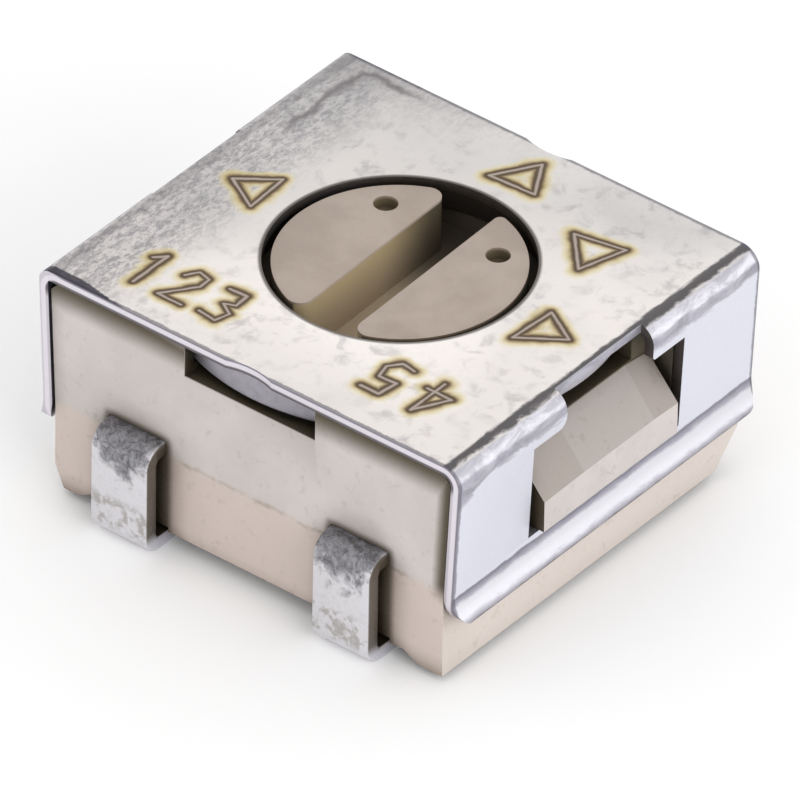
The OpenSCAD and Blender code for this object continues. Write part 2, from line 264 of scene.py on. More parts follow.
def soften(obj, width, segments=3, angle=28):
    """Rounds the edges that are sharper than an angle."""
    weld = obj.modifiers.new("weld", "WELD")
    weld.merge_threshold = 0.0005
    mod = obj.modifiers.new("bevel", "BEVEL")
    mod.width = width
    mod.segments = segments
    mod.limit_method = "ANGLE"
    mod.angle_limit = math.radians(angle)
    mod.miter_outer = "MITER_ARC"
    mod.harden_normals = False
    apply_modifiers(obj)


def finish_mesh(obj, material, slot, body, *nodes, smooth=35):
    """Scales a mesh to metres, shades it, ties it to its body and hides the frame's nodes that it stands
    for.
    """
    obj.data.transform(Matrix.Scale(MM, 4))
    obj.data.materials.clear()
    obj.data.materials.append(material)
    obj.data.shade_smooth()
    obj.data.set_sharp_from_angle(angle=math.radians(smooth))
    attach(obj, body)
    if nodes:
        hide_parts(*nodes)
    return obj


# Node helpers for the materials

class Nodes:
    """Short calls for building a material's node tree."""

    def __init__(self, name):
        self.material = bpy.data.materials.new(name)
        self.material.use_nodes = True
        self.tree = self.material.node_tree
        self.shader = self.tree.nodes["Principled BSDF"]
        coords = self.tree.nodes.new("ShaderNodeTexCoord")
        geometry = self.tree.nodes.new("ShaderNodeNewGeometry")
        scale = self.tree.nodes.new("ShaderNodeVectorMath")
        scale.operation = "SCALE"
        self.link(coords.outputs["Object"], scale.inputs[0])
        scale.inputs["Scale"].default_value = 1 / MM
        self.place = scale.outputs[0]
        self.x, self.y, self.z = self.split(self.place)
        self.facing = self.split(geometry.outputs["Normal"])

    def link(self, a, b):
        self.tree.links.new(a, b)

    def put(self, socket, value):
        if isinstance(value, bpy.types.NodeSocket):
            self.link(value, socket)
        else:
            socket.default_value = value

    def set(self, key, value):
        """Sets an input of the shader to a number or to another node's output."""
        self.put(self.shader.inputs[key], value)

    def math(self, operation, a, b=None, clamp=False):
        node = self.tree.nodes.new("ShaderNodeMath")
        node.operation = operation
        node.use_clamp = clamp
        self.put(node.inputs[0], a)
        if b is not None:
            self.put(node.inputs[1], b)
        return node.outputs[0]

    def chain(self, operation, values):
        total = values[0]
        for value in values[1:]:
            total = self.math(operation, total, value)
        return total

    def times(self, *values):
        return self.chain("MULTIPLY", values)

    def plus(self, *values):
        return self.chain("ADD", values)

    def minus(self, a, b):
        return self.math("SUBTRACT", a, b)

    def larger(self, a, b):
        return self.math("MAXIMUM", a, b)

    def size(self, value):
        return self.math("ABSOLUTE", value)

    def vector(self, operation, a, b):
        node = self.tree.nodes.new("ShaderNodeVectorMath")
        node.operation = operation
        self.put(node.inputs[0], a)
        self.put(node.inputs[1], b)
        return node.outputs[0]

    def length(self, vector):
        node = self.tree.nodes.new("ShaderNodeVectorMath")
        node.operation = "LENGTH"
        self.link(vector, node.inputs[0])
        return node.outputs["Value"]

    def from_axis(self):
        """Distance from the Z axis."""
        return self.length(self.vector("MULTIPLY", self.place, (1, 1, 0)))

    def split(self, vector):
        node = self.tree.nodes.new("ShaderNodeSeparateXYZ")
        self.link(vector, node.inputs[0])
        return node.outputs

    def join(self, x, y, z):
        node = self.tree.nodes.new("ShaderNodeCombineXYZ")
        for i, value in enumerate((x, y, z)):
            self.put(node.inputs[i], value)
        return node.outputs[0]

    def noise(self, scale, detail=4, roughness=0.55, stretch=None, distortion=0.0):
        node = self.tree.nodes.new("ShaderNodeTexNoise")
        place = self.vector("MULTIPLY", self.place, stretch) if stretch else self.place
        self.link(place, node.inputs["Vector"])
        node.inputs["Scale"].default_value = scale
        node.inputs["Detail"].default_value = detail
        node.inputs["Roughness"].default_value = roughness
        node.inputs["Distortion"].default_value = distortion
        return node.outputs["Fac"]

    def noise_colour(self, scale):
        node = self.tree.nodes.new("ShaderNodeTexNoise")
        self.link(self.place, node.inputs["Vector"])
        node.inputs["Scale"].default_value = scale
        return node.outputs["Color"]

    def ramp(self, value, low, high, to_low=0.0, to_high=1.0, smooth=True):
        node = self.tree.nodes.new("ShaderNodeMapRange")
        node.interpolation_type = "SMOOTHSTEP" if smooth else "LINEAR"
        node.clamp = True
        self.put(node.inputs["Value"], value)
        for key, number in (("From Min", low), ("From Max", high), ("To Min", to_low), ("To Max", to_high)):
            node.inputs[key].default_value = number
        return node.outputs[0]

    def mix(self, factor, a, b, blend="MIX"):
        """Mixes two colours, each a node's output or a display colour such as "#8d8a8e"."""
        node = self.tree.nodes.new("ShaderNodeMix")
        node.data_type = "RGBA"
        node.blend_type = blend
        self.put(node.inputs[0], factor)
        for socket, value in ((node.inputs[6], a), (node.inputs[7], b)):
            self.put(socket, (*hex_colour(value), 1.0) if isinstance(value, str) else value)
        return node.outputs[2]

    def bump(self, height, strength, distance):
        node = self.tree.nodes.new("ShaderNodeBump")
        node.inputs["Strength"].default_value = strength
        node.inputs["Distance"].default_value = distance * MM
        self.link(height, node.inputs["Height"])
        self.set("Normal", node.outputs[0])


def hex_colour(text):
    """Linear colour of a display colour."""
    parts = [int(text[i:i + 2], 16) / 255 for i in (1, 3, 5)]
    return tuple(c / 12.92 if c <= 0.04045 else ((c + 0.055) / 1.055) ** 2.4 for c in parts)


# Cover: a folded sheet with its hole, windows, nicks and rounded lip corners

def leg_x(z):
    return COVER_W / 2 - (TOP - FOLD_R - z) * math.tan(LEG_LEAN)


LIP_Z = TOP - LEG_DROP
SILL_Z = LIP_Z + WINDOW_SILL
SHOULDER_Z = TOP - SHOULDER_DROP
BODY_W = 2 * (leg_x(LIP_Z) - SHEET - SIDE_GAP)
WALL_Y = COVER_HIGH.y - WALL_SET
TERM_TOP = FLOOR_Z
SEAL_Z = FLANGE_TOP - FLANGE_T / 2
LIP_END_Z = LIP_Z - (LIP_R + SHEET / 2) * math.sin(LIP_ANGLE) - LIP_LEN * math.cos(LIP_ANGLE) - SHEET / 2


def cover_line(fold_r):
    """Outer line of the right half, from the middle of the top to the lip's end."""
    crease = leg_x(LIP_Z)
    turn = (crease + LIP_R * math.cos(LEG_LEAN), LIP_Z)
    line = [(0.0, TOP)]
    line += arc((COVER_W / 2 - fold_r, TOP - fold_r), fold_r, math.pi / 2, -LEG_LEAN, 20)
    line += arc(turn, LIP_R, math.pi - LEG_LEAN, math.pi + LIP_ANGLE, 10)
    end = (turn[0] - LIP_R * math.cos(LIP_ANGLE) + LIP_LEN * math.sin(LIP_ANGLE),
           LIP_Z - LIP_R * math.sin(LIP_ANGLE) - LIP_LEN * math.cos(LIP_ANGLE))
    return line + [end]


def cover_half(fold_r):
    """Section of one half: the outer line, the lip's round end, then the inner line."""
    half = strip_outline(cover_line(fold_r), SHEET)
    outer = half[:len(half) // 2]
    inner = half[len(half) // 2:]
    middle = ((outer[-1][0] + inner[0][0]) / 2, (outer[-1][1] + inner[0][1]) / 2)
    start = math.atan2(outer[-1][1] - middle[1], outer[-1][0] - middle[0])
    return outer + arc(middle, SHEET / 2, start, start - math.pi, 10)[1:-1] + inner


def window_tools():
    """Cutters of the T-shaped windows: each leg's wide and narrow part, and the part in each fold."""
    wide, narrow = WINDOW_WIDE_W / 2, WINDOW_NARROW_W / 2
    near, far = SHOULDER_R, SHOULDER_FAR_R
    window = [(-wide, SILL_Z), (wide, SILL_Z), (wide, SHOULDER_Z)]
    window += arc((narrow + far, SHOULDER_Z + far), far, -math.pi / 2, -math.pi, 8)
    window += [(narrow, UNDER), (-narrow, UNDER)]
    window += arc((-narrow - near, SHOULDER_Z + near), near, 0, -math.pi / 2, 12)
    window += [(-wide, SHOULDER_Z)]
    leg = prism("window", window, BODY_W / 2 - CUT, COVER_W / 2 + CUT, "YZ")
    fold = block("window_top", (COVER_W / 2 - WINDOW_INSET, -narrow, UNDER - CUT),
                 (COVER_W / 2 + CUT, narrow, TOP + CUT))
    left_fold = block("window_top_left", (-COVER_W / 2 - CUT, -narrow, UNDER - CUT),
                      (LEFT_WINDOW_INSET - COVER_W / 2, narrow, TOP + CUT))
    return [leg, mirrored(leg, "window_left", x=-1), fold, left_fold]


def nick_tools():
    """Cutters of the shallow round nicks in the middle of the front and rear edges."""
    nick_r = ((NICK_W / 2) ** 2 + NICK_DEPTH ** 2) / (2 * NICK_DEPTH)
    nick_y = COVER_HIGH.y + nick_r - NICK_DEPTH
    return [disc("nick", nick_r, UNDER - CUT, TOP + CUT, (0, side * nick_y), 160) for side in (-1, 1)]


def lip_corner_tools():
    """Cutters that round the four lower corners of the lips."""
    depth, r = COVER_HIGH.y, LIP_CORNER_R
    corner = [(depth + CUT, LIP_END_Z - CUT), (depth + CUT, LIP_END_Z + r)]
    corner += arc((depth - r, LIP_END_Z + r), r, 0, -math.pi / 2, 12)
    corner += [(depth - r, LIP_END_Z - CUT)]
    tool = prism("lip_corner", corner, COVER_W / 2 - 2 * FOLD_R, COVER_W / 2 + FOLD_R, "YZ")
    others = [mirrored(tool, "lip_corner", x, y) for x, y in ((1, -1), (-1, 1), (-1, -1))]
    return others + [tool]


def build_cover():
    right, left = cover_half(FOLD_R), cover_half(LEFT_FOLD_R)
    outline = right[:-1] + [(-x, z) for x, z in left[:0:-1]]
    cover = prism("cover_sheet", outline, -COVER_HIGH.y, COVER_HIGH.y, "XZ")
    hole = disc("hole", HOLE_R, UNDER - CUT, TOP + CUT, steps=256)
    cut_out(cover, hole, *window_tools(), *nick_tools(), *lip_corner_tools())
    soften(cover, COVER_EDGE, angle=30)
    return cover


# Housing with its cavity, pockets, wedges and rails

def housing_outline():
    """Section of the block in the XZ plane: rails below, sides that lean like the legs."""
    x, fold_z = BODY_W / 2, TOP - FOLD_R
    top_x = leg_x(fold_z) - SHEET - SIDE_GAP
    low = BODY_Z - RAIL_H
    half = [(x - RAIL_W - RAIL_SLOPE, BODY_Z), (x - RAIL_W, low), (x, low), (x, PARTING_Z - BEND_DROP),
            (top_x, fold_z), (top_x - (UNDER - fold_z), UNDER)]
    return half + [(-a, b) for a, b in half[::-1]]


def build_wedge(wall):
    """Snap wedge on the right: the ramp's two ends fall off a little from its middle part."""
    ramp_z, top_z = TOP - RAMP_DROP, TOP - RAMP_TOP_DROP
    tip = leg_x(ramp_z) + WEDGE_PROUD
    base = SILL_Z + SNAP_GAP
    sections = ((WEDGE_NEAR, WEDGE_END_DROP), (RAMP_CREASE_NEAR, 0), (RAMP_CREASE_FAR, 0),
                (WEDGE_FAR, WEDGE_END_DROP))
    verts = []
    for y, drop in sections:
        verts += [(wall - CUT, y, base), (tip, y, base), (tip, y, ramp_z - drop / 3),
                  (wall, y, top_z - drop), (wall - CUT, y, top_z - drop)]
    corners = 5
    last = corners * (len(sections) - 1)
    faces = [tuple(range(corners)), tuple(last + i for i in reversed(range(corners)))]
    for start in range(0, last, corners):
        for i in range(corners):
            j = (i + 1) % corners
            faces.append((start + i, start + j, start + corners + j, start + corners + i))
    return object_from("wedge", verts, faces)


def relief_tools():
    """Cutters of the reliefs in the walls: one from front to rear, and a deeper one from side to side."""
    half_w, reach = RELIEF_HALF_W, COVER_W
    return [block("relief", (-half_w, -reach, RING_LOW.z - RELIEF_DROP), (half_w, reach, TOP)),
            block("relief", (-reach, -half_w, RING_LOW.z - SIDE_RELIEF_DROP), (reach, half_w, TOP))]


def terminal_tools(x, sign):
    """Cutters of one terminal's slit and of the pocket for its foot. The rear one has sign -1."""
    half, wall_y = TERM_W / 2, -sign * (WALL_Y + CUT)
    slit_end = -sign * (WALL_Y - SLIT_DEPTH)
    slit = block("slit", (x - half, wall_y, TERM_TOP - TERM_T), (x + half, slit_end, TERM_TOP))
    half += TERM_GAP
    foot_end = -sign * (WALL_Y - TERM_FOOT + TERM_REACH - TERM_GAP)
    foot = block("foot_pocket", (x - half, wall_y, 0), (x + half, foot_end, TERM_T + FOOT_ROOM))
    return [slit, foot]


def lower_edge_tools():
    """Cutters of the rear lower edge's chamfer and of the chip at the lower left front corner."""
    low = BODY_Z - RAIL_H
    far_y, low_z = WALL_Y + CUT, low - CUT
    chamfer = [(far_y, low_z), (far_y, low + REAR_CHAMFER + CUT), (WALL_Y - REAR_CHAMFER - CUT, low_z)]
    left_x = BODY_W / 2
    chip = [(-left_x - CUT, -far_y, low_z), (CHIP_W - left_x, -far_y, low_z),
            (-left_x - CUT, CHIP_H - WALL_Y, low_z), (-left_x - CUT, -far_y, low + CHIP_H)]
    return [prism("rear_edge", chamfer, -BODY_W, BODY_W, "YZ"),
            object_from("chip", chip, [(0, 2, 1), (0, 1, 3), (1, 2, 3), (0, 3, 2)])]


def build_housing():
    body = prism("housing_block", housing_outline(), -WALL_Y, WALL_Y, "XZ")
    wide, pocket_x = WINDOW_WIDE_W / 2, BODY_W / 2 - POCKET_DEPTH
    pocket = block("pocket", (pocket_x, -wide, SILL_Z), (BODY_W, wide, TOP))
    cavity = disc("cavity", CAVITY_R, FLOOR_Z, TOP)
    ring_seat = disc("ring_seat", RING_HIGH.x + RING_GAP, RING_LOW.z, TOP)
    cut_out(body, cavity, ring_seat, *relief_tools(), mirrored(pocket, "pocket_left", x=-1), pocket)
    wedge = build_wedge(pocket_x)
    join_on(body, mirrored(wedge, "wedge_left", x=-1), wedge)
    cuts = []
    for x, sign in ((-PITCH / 2, 1), (PITCH / 2, 1), (0, -1)):
        cuts += terminal_tools(x, sign)
    cut_out(body, *cuts, *lower_edge_tools())
    soften(body, HOUSING_EDGE, angle=25)
    return body


# Bearing ring, rotor and terminals

def build_ring():
    ring = disc("ring", RING_HIGH.x, RING_LOW.z, RING_HIGH.z)
    cut_out(ring, disc("ring_bore", BORE_R, RING_LOW.z - CUT, TOP))
    soften(ring, RING_EDGE, angle=40)
    return ring


def slot_corner(r):
    """Half side of the slot on +X: straight, then a round corner out through the rim."""
    x = SLOT_W / 2 + r
    y = math.sqrt((ROTOR_R - r) ** 2 - x ** 2)
    corner = arc((x, y), r, math.pi, math.atan2(y, x), 12)
    return corner + [(corner[-1][0] * SLOT_REACH, corner[-1][1] * SLOT_REACH)]


def slot_outline():
    """Plan of the slot, which widens by rounded corners where it runs out of the face."""
    wide, tight = slot_corner(SLOT_END_R), slot_corner(SLOT_TIGHT_R)
    far_left = [(-x, y) for x, y in wide[::-1]]
    near_left = [(-x, -y) for x, y in wide]
    near_right = [(x, -y) for x, y in wide[::-1]]
    return tight + far_left + near_left + near_right


def build_flange():
    """The rotor's lower part: the flange with its seal groove, and the stop lug below it."""
    low = FLANGE_TOP - FLANGE_T
    flange = disc("flange", FLANGE_R, low, FLANGE_TOP, steps=160)
    groove = disc("groove", FLANGE_R + CUT, SEAL_Z - GROOVE_HALF_H, SEAL_Z + GROOVE_HALF_H, steps=160)
    cut_out(groove, disc("groove_core", CAVITY_R - GROOVE_DEPTH, low, FLANGE_TOP, steps=160))
    cut_out(flange, groove)
    start, end = math.pi / 2 - LUG_HALF_ANGLE, math.pi / 2 + LUG_HALF_ANGLE
    lug = arc((0, 0), LUG_R, start, end, 16) + arc((0, 0), FLANGE_R, end, start, 16)
    join_on(flange, prism("lug", lug, ROTOR_LOW.z, low + LUG_OVERLAP))
    return flange


def build_rotor():
    rotor = disc("rotor_body", ROTOR_R, FLANGE_TOP - FLANGE_OVERLAP, ROTOR_TOP, steps=256)
    join_on(rotor, build_flange())
    tools = [prism("slot", slot_outline(), TOP - SLOT_DEPTH, TOP + CUT)]
    for side in (-1, 1):
        tools.append(disc("mark", MARK_R, ROTOR_TOP - MARK_DEPTH, TOP + CUT, (side * MARK_X, MARK_Y), 64))
    cut_out(rotor, *tools)
    soften(rotor, ROTOR_EDGE, angle=30)
    rotor.data.transform(Matrix.Rotation(SLOT_TURN, 4, "Z"))
    return rotor


def terminal_line(embed):
    """Outer line of a J-shaped terminal, from its end in the housing to the end of its foot."""
    face, r = -WALL_Y - TERM_REACH, TERM_BEND_R
    line = [(-WALL_Y + embed, TERM_TOP)]
    line += arc((face + r, TERM_TOP - r), r, math.pi / 2, math.pi, 14)
    line += arc((face + r, r), r, math.pi, 1.5 * math.pi, 14)
    return line + [(face + TERM_FOOT, 0.0)]


def build_terminal(name, x, turn, embed):
    outline = strip_outline(terminal_line(embed)[::-1], TERM_T)
    terminal = prism(name, outline, -TERM_W / 2, TERM_W / 2, "YZ")
    soften(terminal, TERM_EDGE, angle=30)
    terminal.data.transform(Matrix.Translation((x, 0, 0)))
    terminal.data.transform(Matrix.Rotation(turn, 4, "Z"))
    return terminal


cover = build_cover()
housing = build_housing()
ring = build_ring()
rotor = build_rotor()
FRONT_EMBED = FRONT_TERMINAL_HIGH.y + WALL_Y
terminal_start = build_terminal("front_terminal_a", -PITCH / 2, 0, FRONT_EMBED)
terminal_end = build_terminal("front_terminal_b", PITCH / 2, 0, FRONT_EMBED)
terminal_wiper = build_terminal("rear_terminal", 0, math.pi, WALL_Y + REAR_EMBED)


# Marks burnt into the top: four pointers and plain digits, all of straight strokes

POINTERS = [
    [(-1.914, -0.016), (-1.553, 0.263), (-1.522, -0.238)],
    [(-0.173, 1.496), (0.093, 1.928), (0.324, 1.527)],
    [(0.961, 1.290), (1.471, 1.394), (1.319, 0.901)],
    [(1.536, 0.241), (1.500, -0.274), (1.912, 0.021)],
]

# Digits on a grid one wide and two high
DIGITS = {
    "1": [(0.25, 1.6), (0.6, 2.0), (0.6, 0.0)],
    "2": [(0.05, 1.5), (0.35, 2.0), (0.85, 1.85), (0.85, 1.3), (0.0, 0.0), (1.0, 0.0)],
    "3": [(0.05, 1.9), (0.75, 1.95), (0.8, 1.25), (0.4, 1.05), (0.92, 0.7), (0.75, 0.05), (0.02, 0.15)],
    "4": [(1.0, 0.6), (0.0, 0.6), (0.7, 2.0), (0.7, 0.0)],
    "5": [(0.95, 2.0), (0.2, 2.0), (0.1, 1.1), (0.8, 1.15), (0.95, 0.5), (0.6, 0.0), (0.05, 0.1)],
}
DIGIT_W = 0.27
DIGIT_HALF_H = 0.243


def digits(text, origin, turn, step):
    """Strokes of plain digits along a line that starts at origin, one digit to each step."""
    c, s = math.cos(turn), math.sin(turn)
    strokes = []
    for k, char in enumerate(text):
        path = [(x * DIGIT_W + k * step, y * DIGIT_HALF_H) for x, y in DIGITS[char]]
        path = [(origin[0] + c * x - s * y, origin[1] + s * x + c * y) for x, y in path]
        strokes += list(zip(path, path[1:]))
    return strokes


STROKES = [stroke for points in POINTERS for stroke in zip(points, points[1:] + points[:1])]
STROKES += digits("123", (-1.78, -1.78), 0.0, 0.44)
STROKES += digits("45", (1.66, -1.2), math.pi, 0.5)


def segment_group():
    """Distance from a point to one straight stroke, in the plane."""
    group = bpy.data.node_groups.new("stroke distance", "ShaderNodeTree")
    for name, kind in (("Point", "NodeSocketVector"), ("Start", "NodeSocketVector"),
                       ("Along", "NodeSocketVector"), ("Share", "NodeSocketVector")):
        group.interface.new_socket(name, in_out="INPUT", socket_type=kind)
    group.interface.new_socket("Before", in_out="INPUT", socket_type="NodeSocketFloat")
    group.interface.new_socket("Distance", in_out="OUTPUT", socket_type="NodeSocketFloat")
    group.interface.new_socket("Point", in_out="OUTPUT", socket_type="NodeSocketVector")
    inputs = group.nodes.new("NodeGroupInput").outputs
    output = group.nodes.new("NodeGroupOutput")

    def op(kind, a, b=None):
        node = group.nodes.new("ShaderNodeVectorMath")
        node.operation = kind
        group.links.new(a, node.inputs[0])
        if b is not None:
            group.links.new(b, node.inputs["Scale"] if kind == "SCALE" else node.inputs[1])
        return node.outputs["Value"] if kind in ("DOT_PRODUCT", "LENGTH") else node.outputs[0]

    offset = op("SUBTRACT", inputs["Point"], inputs["Start"])
    share = group.nodes.new("ShaderNodeClamp")
    group.links.new(op("DOT_PRODUCT", offset, inputs["Share"]), share.inputs[0])
    nearest = op("SCALE", inputs["Along"], share.outputs[0])
    least = group.nodes.new("ShaderNodeMath")
    least.operation = "MINIMUM"
    group.links.new(op("LENGTH", op("SUBTRACT", offset, nearest)), least.inputs[0])
    group.links.new(inputs["Before"], least.inputs[1])
    group.links.new(least.outputs[0], output.inputs["Distance"])
    # The point is handed on through the distance, so that the strokes are worked out one by one
    tiny = group.nodes.new("ShaderNodeVectorMath")
    tiny.operation = "MULTIPLY_ADD"
    group.links.new(least.outputs[0], tiny.inputs[0])
    tiny.inputs[1].default_value = (1e-7, 1e-7, 0)
    group.links.new(inputs["Point"], tiny.inputs[2])
    group.links.new(tiny.outputs[0], output.inputs["Point"])
    return group


def stroke_distance(nodes, strokes, wobble):
    """Distance in the XY plane to the nearest of many strokes, whose edges are a little uneven."""
    group = segment_group()
    flat = nodes.vector("MULTIPLY", nodes.place, (1, 1, 0))
    uneven = nodes.vector("MULTIPLY", nodes.noise_colour(9.0), (wobble, wobble, 0))
    point = nodes.vector("ADD", flat, uneven)
    nearest = COVER_W
    for (ax, ay), (bx, by) in strokes:
        node = nodes.tree.nodes.new("ShaderNodeGroup")
        node.node_tree = group
        nodes.link(point, node.inputs["Point"])
        dx, dy = bx - ax, by - ay
        size = dx * dx + dy * dy
        node.inputs["Start"].default_value = (ax + wobble / 2, ay + wobble / 2, 0)
        node.inputs["Along"].default_value = (dx, dy, 0)
        node.inputs["Share"].default_value = (dx / size, dy / size, 0)
        nodes.put(node.inputs["Before"], nearest)
        nearest = node.outputs["Distance"]
        point = node.outputs["Point"]
    return nearest


# The cover's material

SILVER_WARM = "#efe9e5"
SILVER_GREY = "#cfccca"
SILVER_DARK = "#8d8a8e"
SILVER_BLUE = "#dbdce6"
FOLD_X = COVER_W / 2 - FOLD_R
FOLD_Z = TOP - FOLD_R
STAIN_LEFT = 2.02
STAIN_REAR = 1.99

# Colours from the middle of a burnt stroke outwards: place, colour and strength
BURN_STOPS = [
    (0.0, "#ada098", 1.0), (0.05, "#9c8c80", 1.0), (0.1, "#4d3d2a", 1.0), (0.19, "#57452a", 1.0),
    (0.26, "#8a7345", 0.92), (0.35, "#bba669", 0.78), (0.47, "#d3c384", 0.55), (0.72, "#e6dcb4", 0.0),
]
BURN_REACH = 0.2
BURN_WOBBLE = 0.012


class Sheet(Nodes):
    """The cover's node tree, with the fields that the parts of its material share."""

    def __init__(self):
        super().__init__("cover")
        self.up = self.facing[2]
        self.side = self.size(self.x)
        self.fine = self.noise(16.0, 4, 0.72, distortion=0.6)
        self.scratches = self.noise(13.0, 4, 0.78, stretch=(1.7, 0.75, 1.0), distortion=0.3)
        self.streaks = self.noise(7.0, 4, 0.7, stretch=(1.0, 0.35, 1.0), distortion=0.5)
        self.shift = self.ramp(self.streaks, 0.3, 0.7, -0.05, 0.05)
        self.across = self.plus(self.up, self.shift)


def stain_line(sheet):
    """Share of a faint, ragged stain that runs round the rear left corner of the top."""
    x, y = sheet.x, sheet.y
    bend = sheet.larger(sheet.minus(-STAIN_LEFT, x), sheet.minus(y, STAIN_REAR))
    ragged = sheet.plus(bend, sheet.ramp(sheet.noise(3.0, 4), 0.3, 0.7, -0.05, 0.05))
    near = sheet.ramp(sheet.size(ragged), 0.0, 0.08, 0.85, 0.0)
    return sheet.times(near, sheet.ramp(sheet.minus(y, x), 2.6, 3.2), sheet.ramp(x, -1.15, -1.65))


def top_colour(sheet):
    """Colour of the flat top, and the share of it that is soiled."""
    x, y = sheet.x, sheet.y
    # Broad tones: brightest in front, greyer towards the rear and the left fold
    rear = sheet.ramp(sheet.plus(y, sheet.times(x, -0.3)), -1.2, 2.2)
    cloud = sheet.ramp(sheet.noise(0.55, 2, 0.5), 0.35, 0.7, -0.25, 0.3)
    tone = sheet.math("ADD", sheet.times(rear, 0.9), cloud, clamp=True)
    top = sheet.mix(tone, SILVER_WARM, SILVER_GREY)
    # Fine grey mottling, as blotches and as rubbed streaks along the left edge
    rear_left = sheet.plus(y, sheet.times(x, -0.35))
    left = sheet.ramp(x, -1.3, -1.95)
    back = sheet.ramp(rear_left, 1.8, 2.7)
    worn = sheet.larger(sheet.times(left, 0.85), sheet.times(back, 0.45))
    patch = sheet.ramp(sheet.noise(1.7, 3, 0.6), 0.38, 0.62)
    spots = sheet.ramp(sheet.noise(5.0, 4, 0.6, distortion=0.5), 0.48, 0.7)
    blot = sheet.times(spots, sheet.ramp(patch, 0.0, 1.0, 0.12, 0.4))
    rub = sheet.times(sheet.ramp(sheet.scratches, 0.4, 0.62), worn, 0.95)
    soil = sheet.math("MAXIMUM", blot, rub, clamp=True)
    top = sheet.mix(sheet.times(worn, 0.35), top, SILVER_DARK)
    top = sheet.mix(sheet.ramp(rear_left, 2.2, 2.85, 0.0, 0.35), top, "#7b7474")
    top = sheet.mix(soil, top, SILVER_DARK)
    return sheet.mix(stain_line(sheet), top, "#716b6c"), soil


def leg_colour(sheet):
    """Fold and leg, from the top down: painted highlight streaks, a grey band of painted shade, then the
    flat bluish leg.
    """
    x, y, z = sheet.x, sheet.y, sheet.z
    bright = sheet.mix(sheet.ramp(sheet.streaks, 0.38, 0.62), "#bab8c0", "#dedce4")
    # On the left fold the painted highlight streaks give way to darker painted shade
    dull_and_shaded = sheet.mix(sheet.ramp(sheet.scratches, 0.4, 0.6), "#a19fa6", "#68656b")
    bright = sheet.mix(sheet.ramp(x, -1.0, -1.5, 0.0, 0.9), bright, dull_and_shaded)
    grey = sheet.mix(sheet.ramp(sheet.streaks, 0.35, 0.65), "#9c9aa4", "#b9b7c1")
    grey_end = sheet.ramp(y, -1.6, -2.15, TOP - 0.24, TOP - 0.38)
    above_end = sheet.plus(sheet.minus(z, grey_end), sheet.times(sheet.shift, 0.8))
    leg = sheet.mix(sheet.ramp(above_end, -0.03, 0.03), SILVER_BLUE, grey)
    return sheet.mix(sheet.ramp(sheet.across, 0.3, 0.45), leg, bright)


def lip_colour(sheet, leg):
    """Adds the lip to the leg: painted shade in a grey crease, a painted highlight on the bright bead, then
    painted shade in a grey and a dark lower edge.
    """
    low = sheet.plus(sheet.minus(LIP_Z, sheet.z), sheet.times(sheet.shift, 0.25))
    bead = sheet.mix(sheet.ramp(low, 0.045, 0.105), "#a09eaa", "#d9d8de")
    bead = sheet.mix(sheet.ramp(low, 0.205, 0.255), bead, "#b0adb6")
    bead = sheet.mix(sheet.ramp(low, 0.26, 0.29), bead, "#77747c")
    leg = sheet.mix(sheet.ramp(low, -0.02, 0.0), leg, bead)
    crease = sheet.ramp(sheet.size(sheet.minus(low, 0.012)), 0.0, 0.03, 0.65, 0.0)
    return sheet.mix(crease, leg, "#787580")


def add_dark_lines(sheet, colour):
    """Painted shade in dark bands along the folds' upper edges, and painted dark reflections along the
    sheet's outer edges.
    """
    x, y, z = sheet.x, sheet.y, sheet.z
    bent = sheet.ramp(sheet.plus(sheet.side, sheet.times(sheet.shift, 0.3)), FOLD_X - 0.015, FOLD_X + 0.02)
    fold = sheet.times(bent, sheet.ramp(sheet.across, 0.83, 0.93), sheet.ramp(z, TOP - 0.12, TOP - 0.09),
                       sheet.ramp(x, -1.0, 1.0, 0.3, 0.92))
    colour = sheet.mix(fold, colour, "#4b484c")
    rim = sheet.plus(sheet.size(y), sheet.times(sheet.shift, 0.15))
    edge = sheet.ramp(rim, COVER_HIGH.y - 0.045, COVER_HIGH.y - 0.02, 0.0, 0.7)
    colour = sheet.mix(edge, colour, "#615e69")
    # The painted dark reflection on the front left corner's edge is darker and widens towards the fold
    wider = sheet.times(sheet.ramp(x, -2.0, -1.45, 0.085, 0.0), sheet.ramp(y, 0.0, -1.0))
    corner = sheet.ramp(sheet.plus(wider, rim), COVER_HIGH.y - 0.02, COVER_HIGH.y)
    return sheet.mix(sheet.times(corner, sheet.ramp(x, -1.4, -1.5), 0.9), colour, "#35323f")


def cut_face_colour(sheet):
    """The sheet's cut: pale, with a painted dark reflection along its outer side and a painted shade line
    along its inner side; the windows' cut faces get painted shade.
    """
    x, y, z = sheet.x, sheet.y, sheet.z
    lean = sheet.times(sheet.larger(sheet.minus(FOLD_Z, z), 0.0), math.tan(LEG_LEAN))
    beyond = sheet.larger(sheet.minus(sheet.plus(sheet.side, lean), FOLD_X), 0.0)
    above = sheet.larger(sheet.minus(z, FOLD_Z), 0.0)
    reach = sheet.length(sheet.join(beyond, above, 0.0))
    outer = sheet.times(sheet.ramp(reach, FOLD_R - 0.026, FOLD_R - 0.012),
                        sheet.ramp(x, -2.25, -2.1, 0.25, 0.8))
    inner = sheet.times(sheet.ramp(reach, FOLD_R - SHEET + 0.038, FOLD_R - SHEET + 0.018),
                        sheet.ramp(z, TOP - 0.3, FOLD_Z, 0.3, 0.9))
    colour = sheet.mix(outer, "#dcd6de", "#5d5a68")
    colour = sheet.mix(inner, colour, "#4f4a4c")
    return sheet.mix(sheet.ramp(sheet.size(y), 2.05, 2.0), colour, "#5b5653")


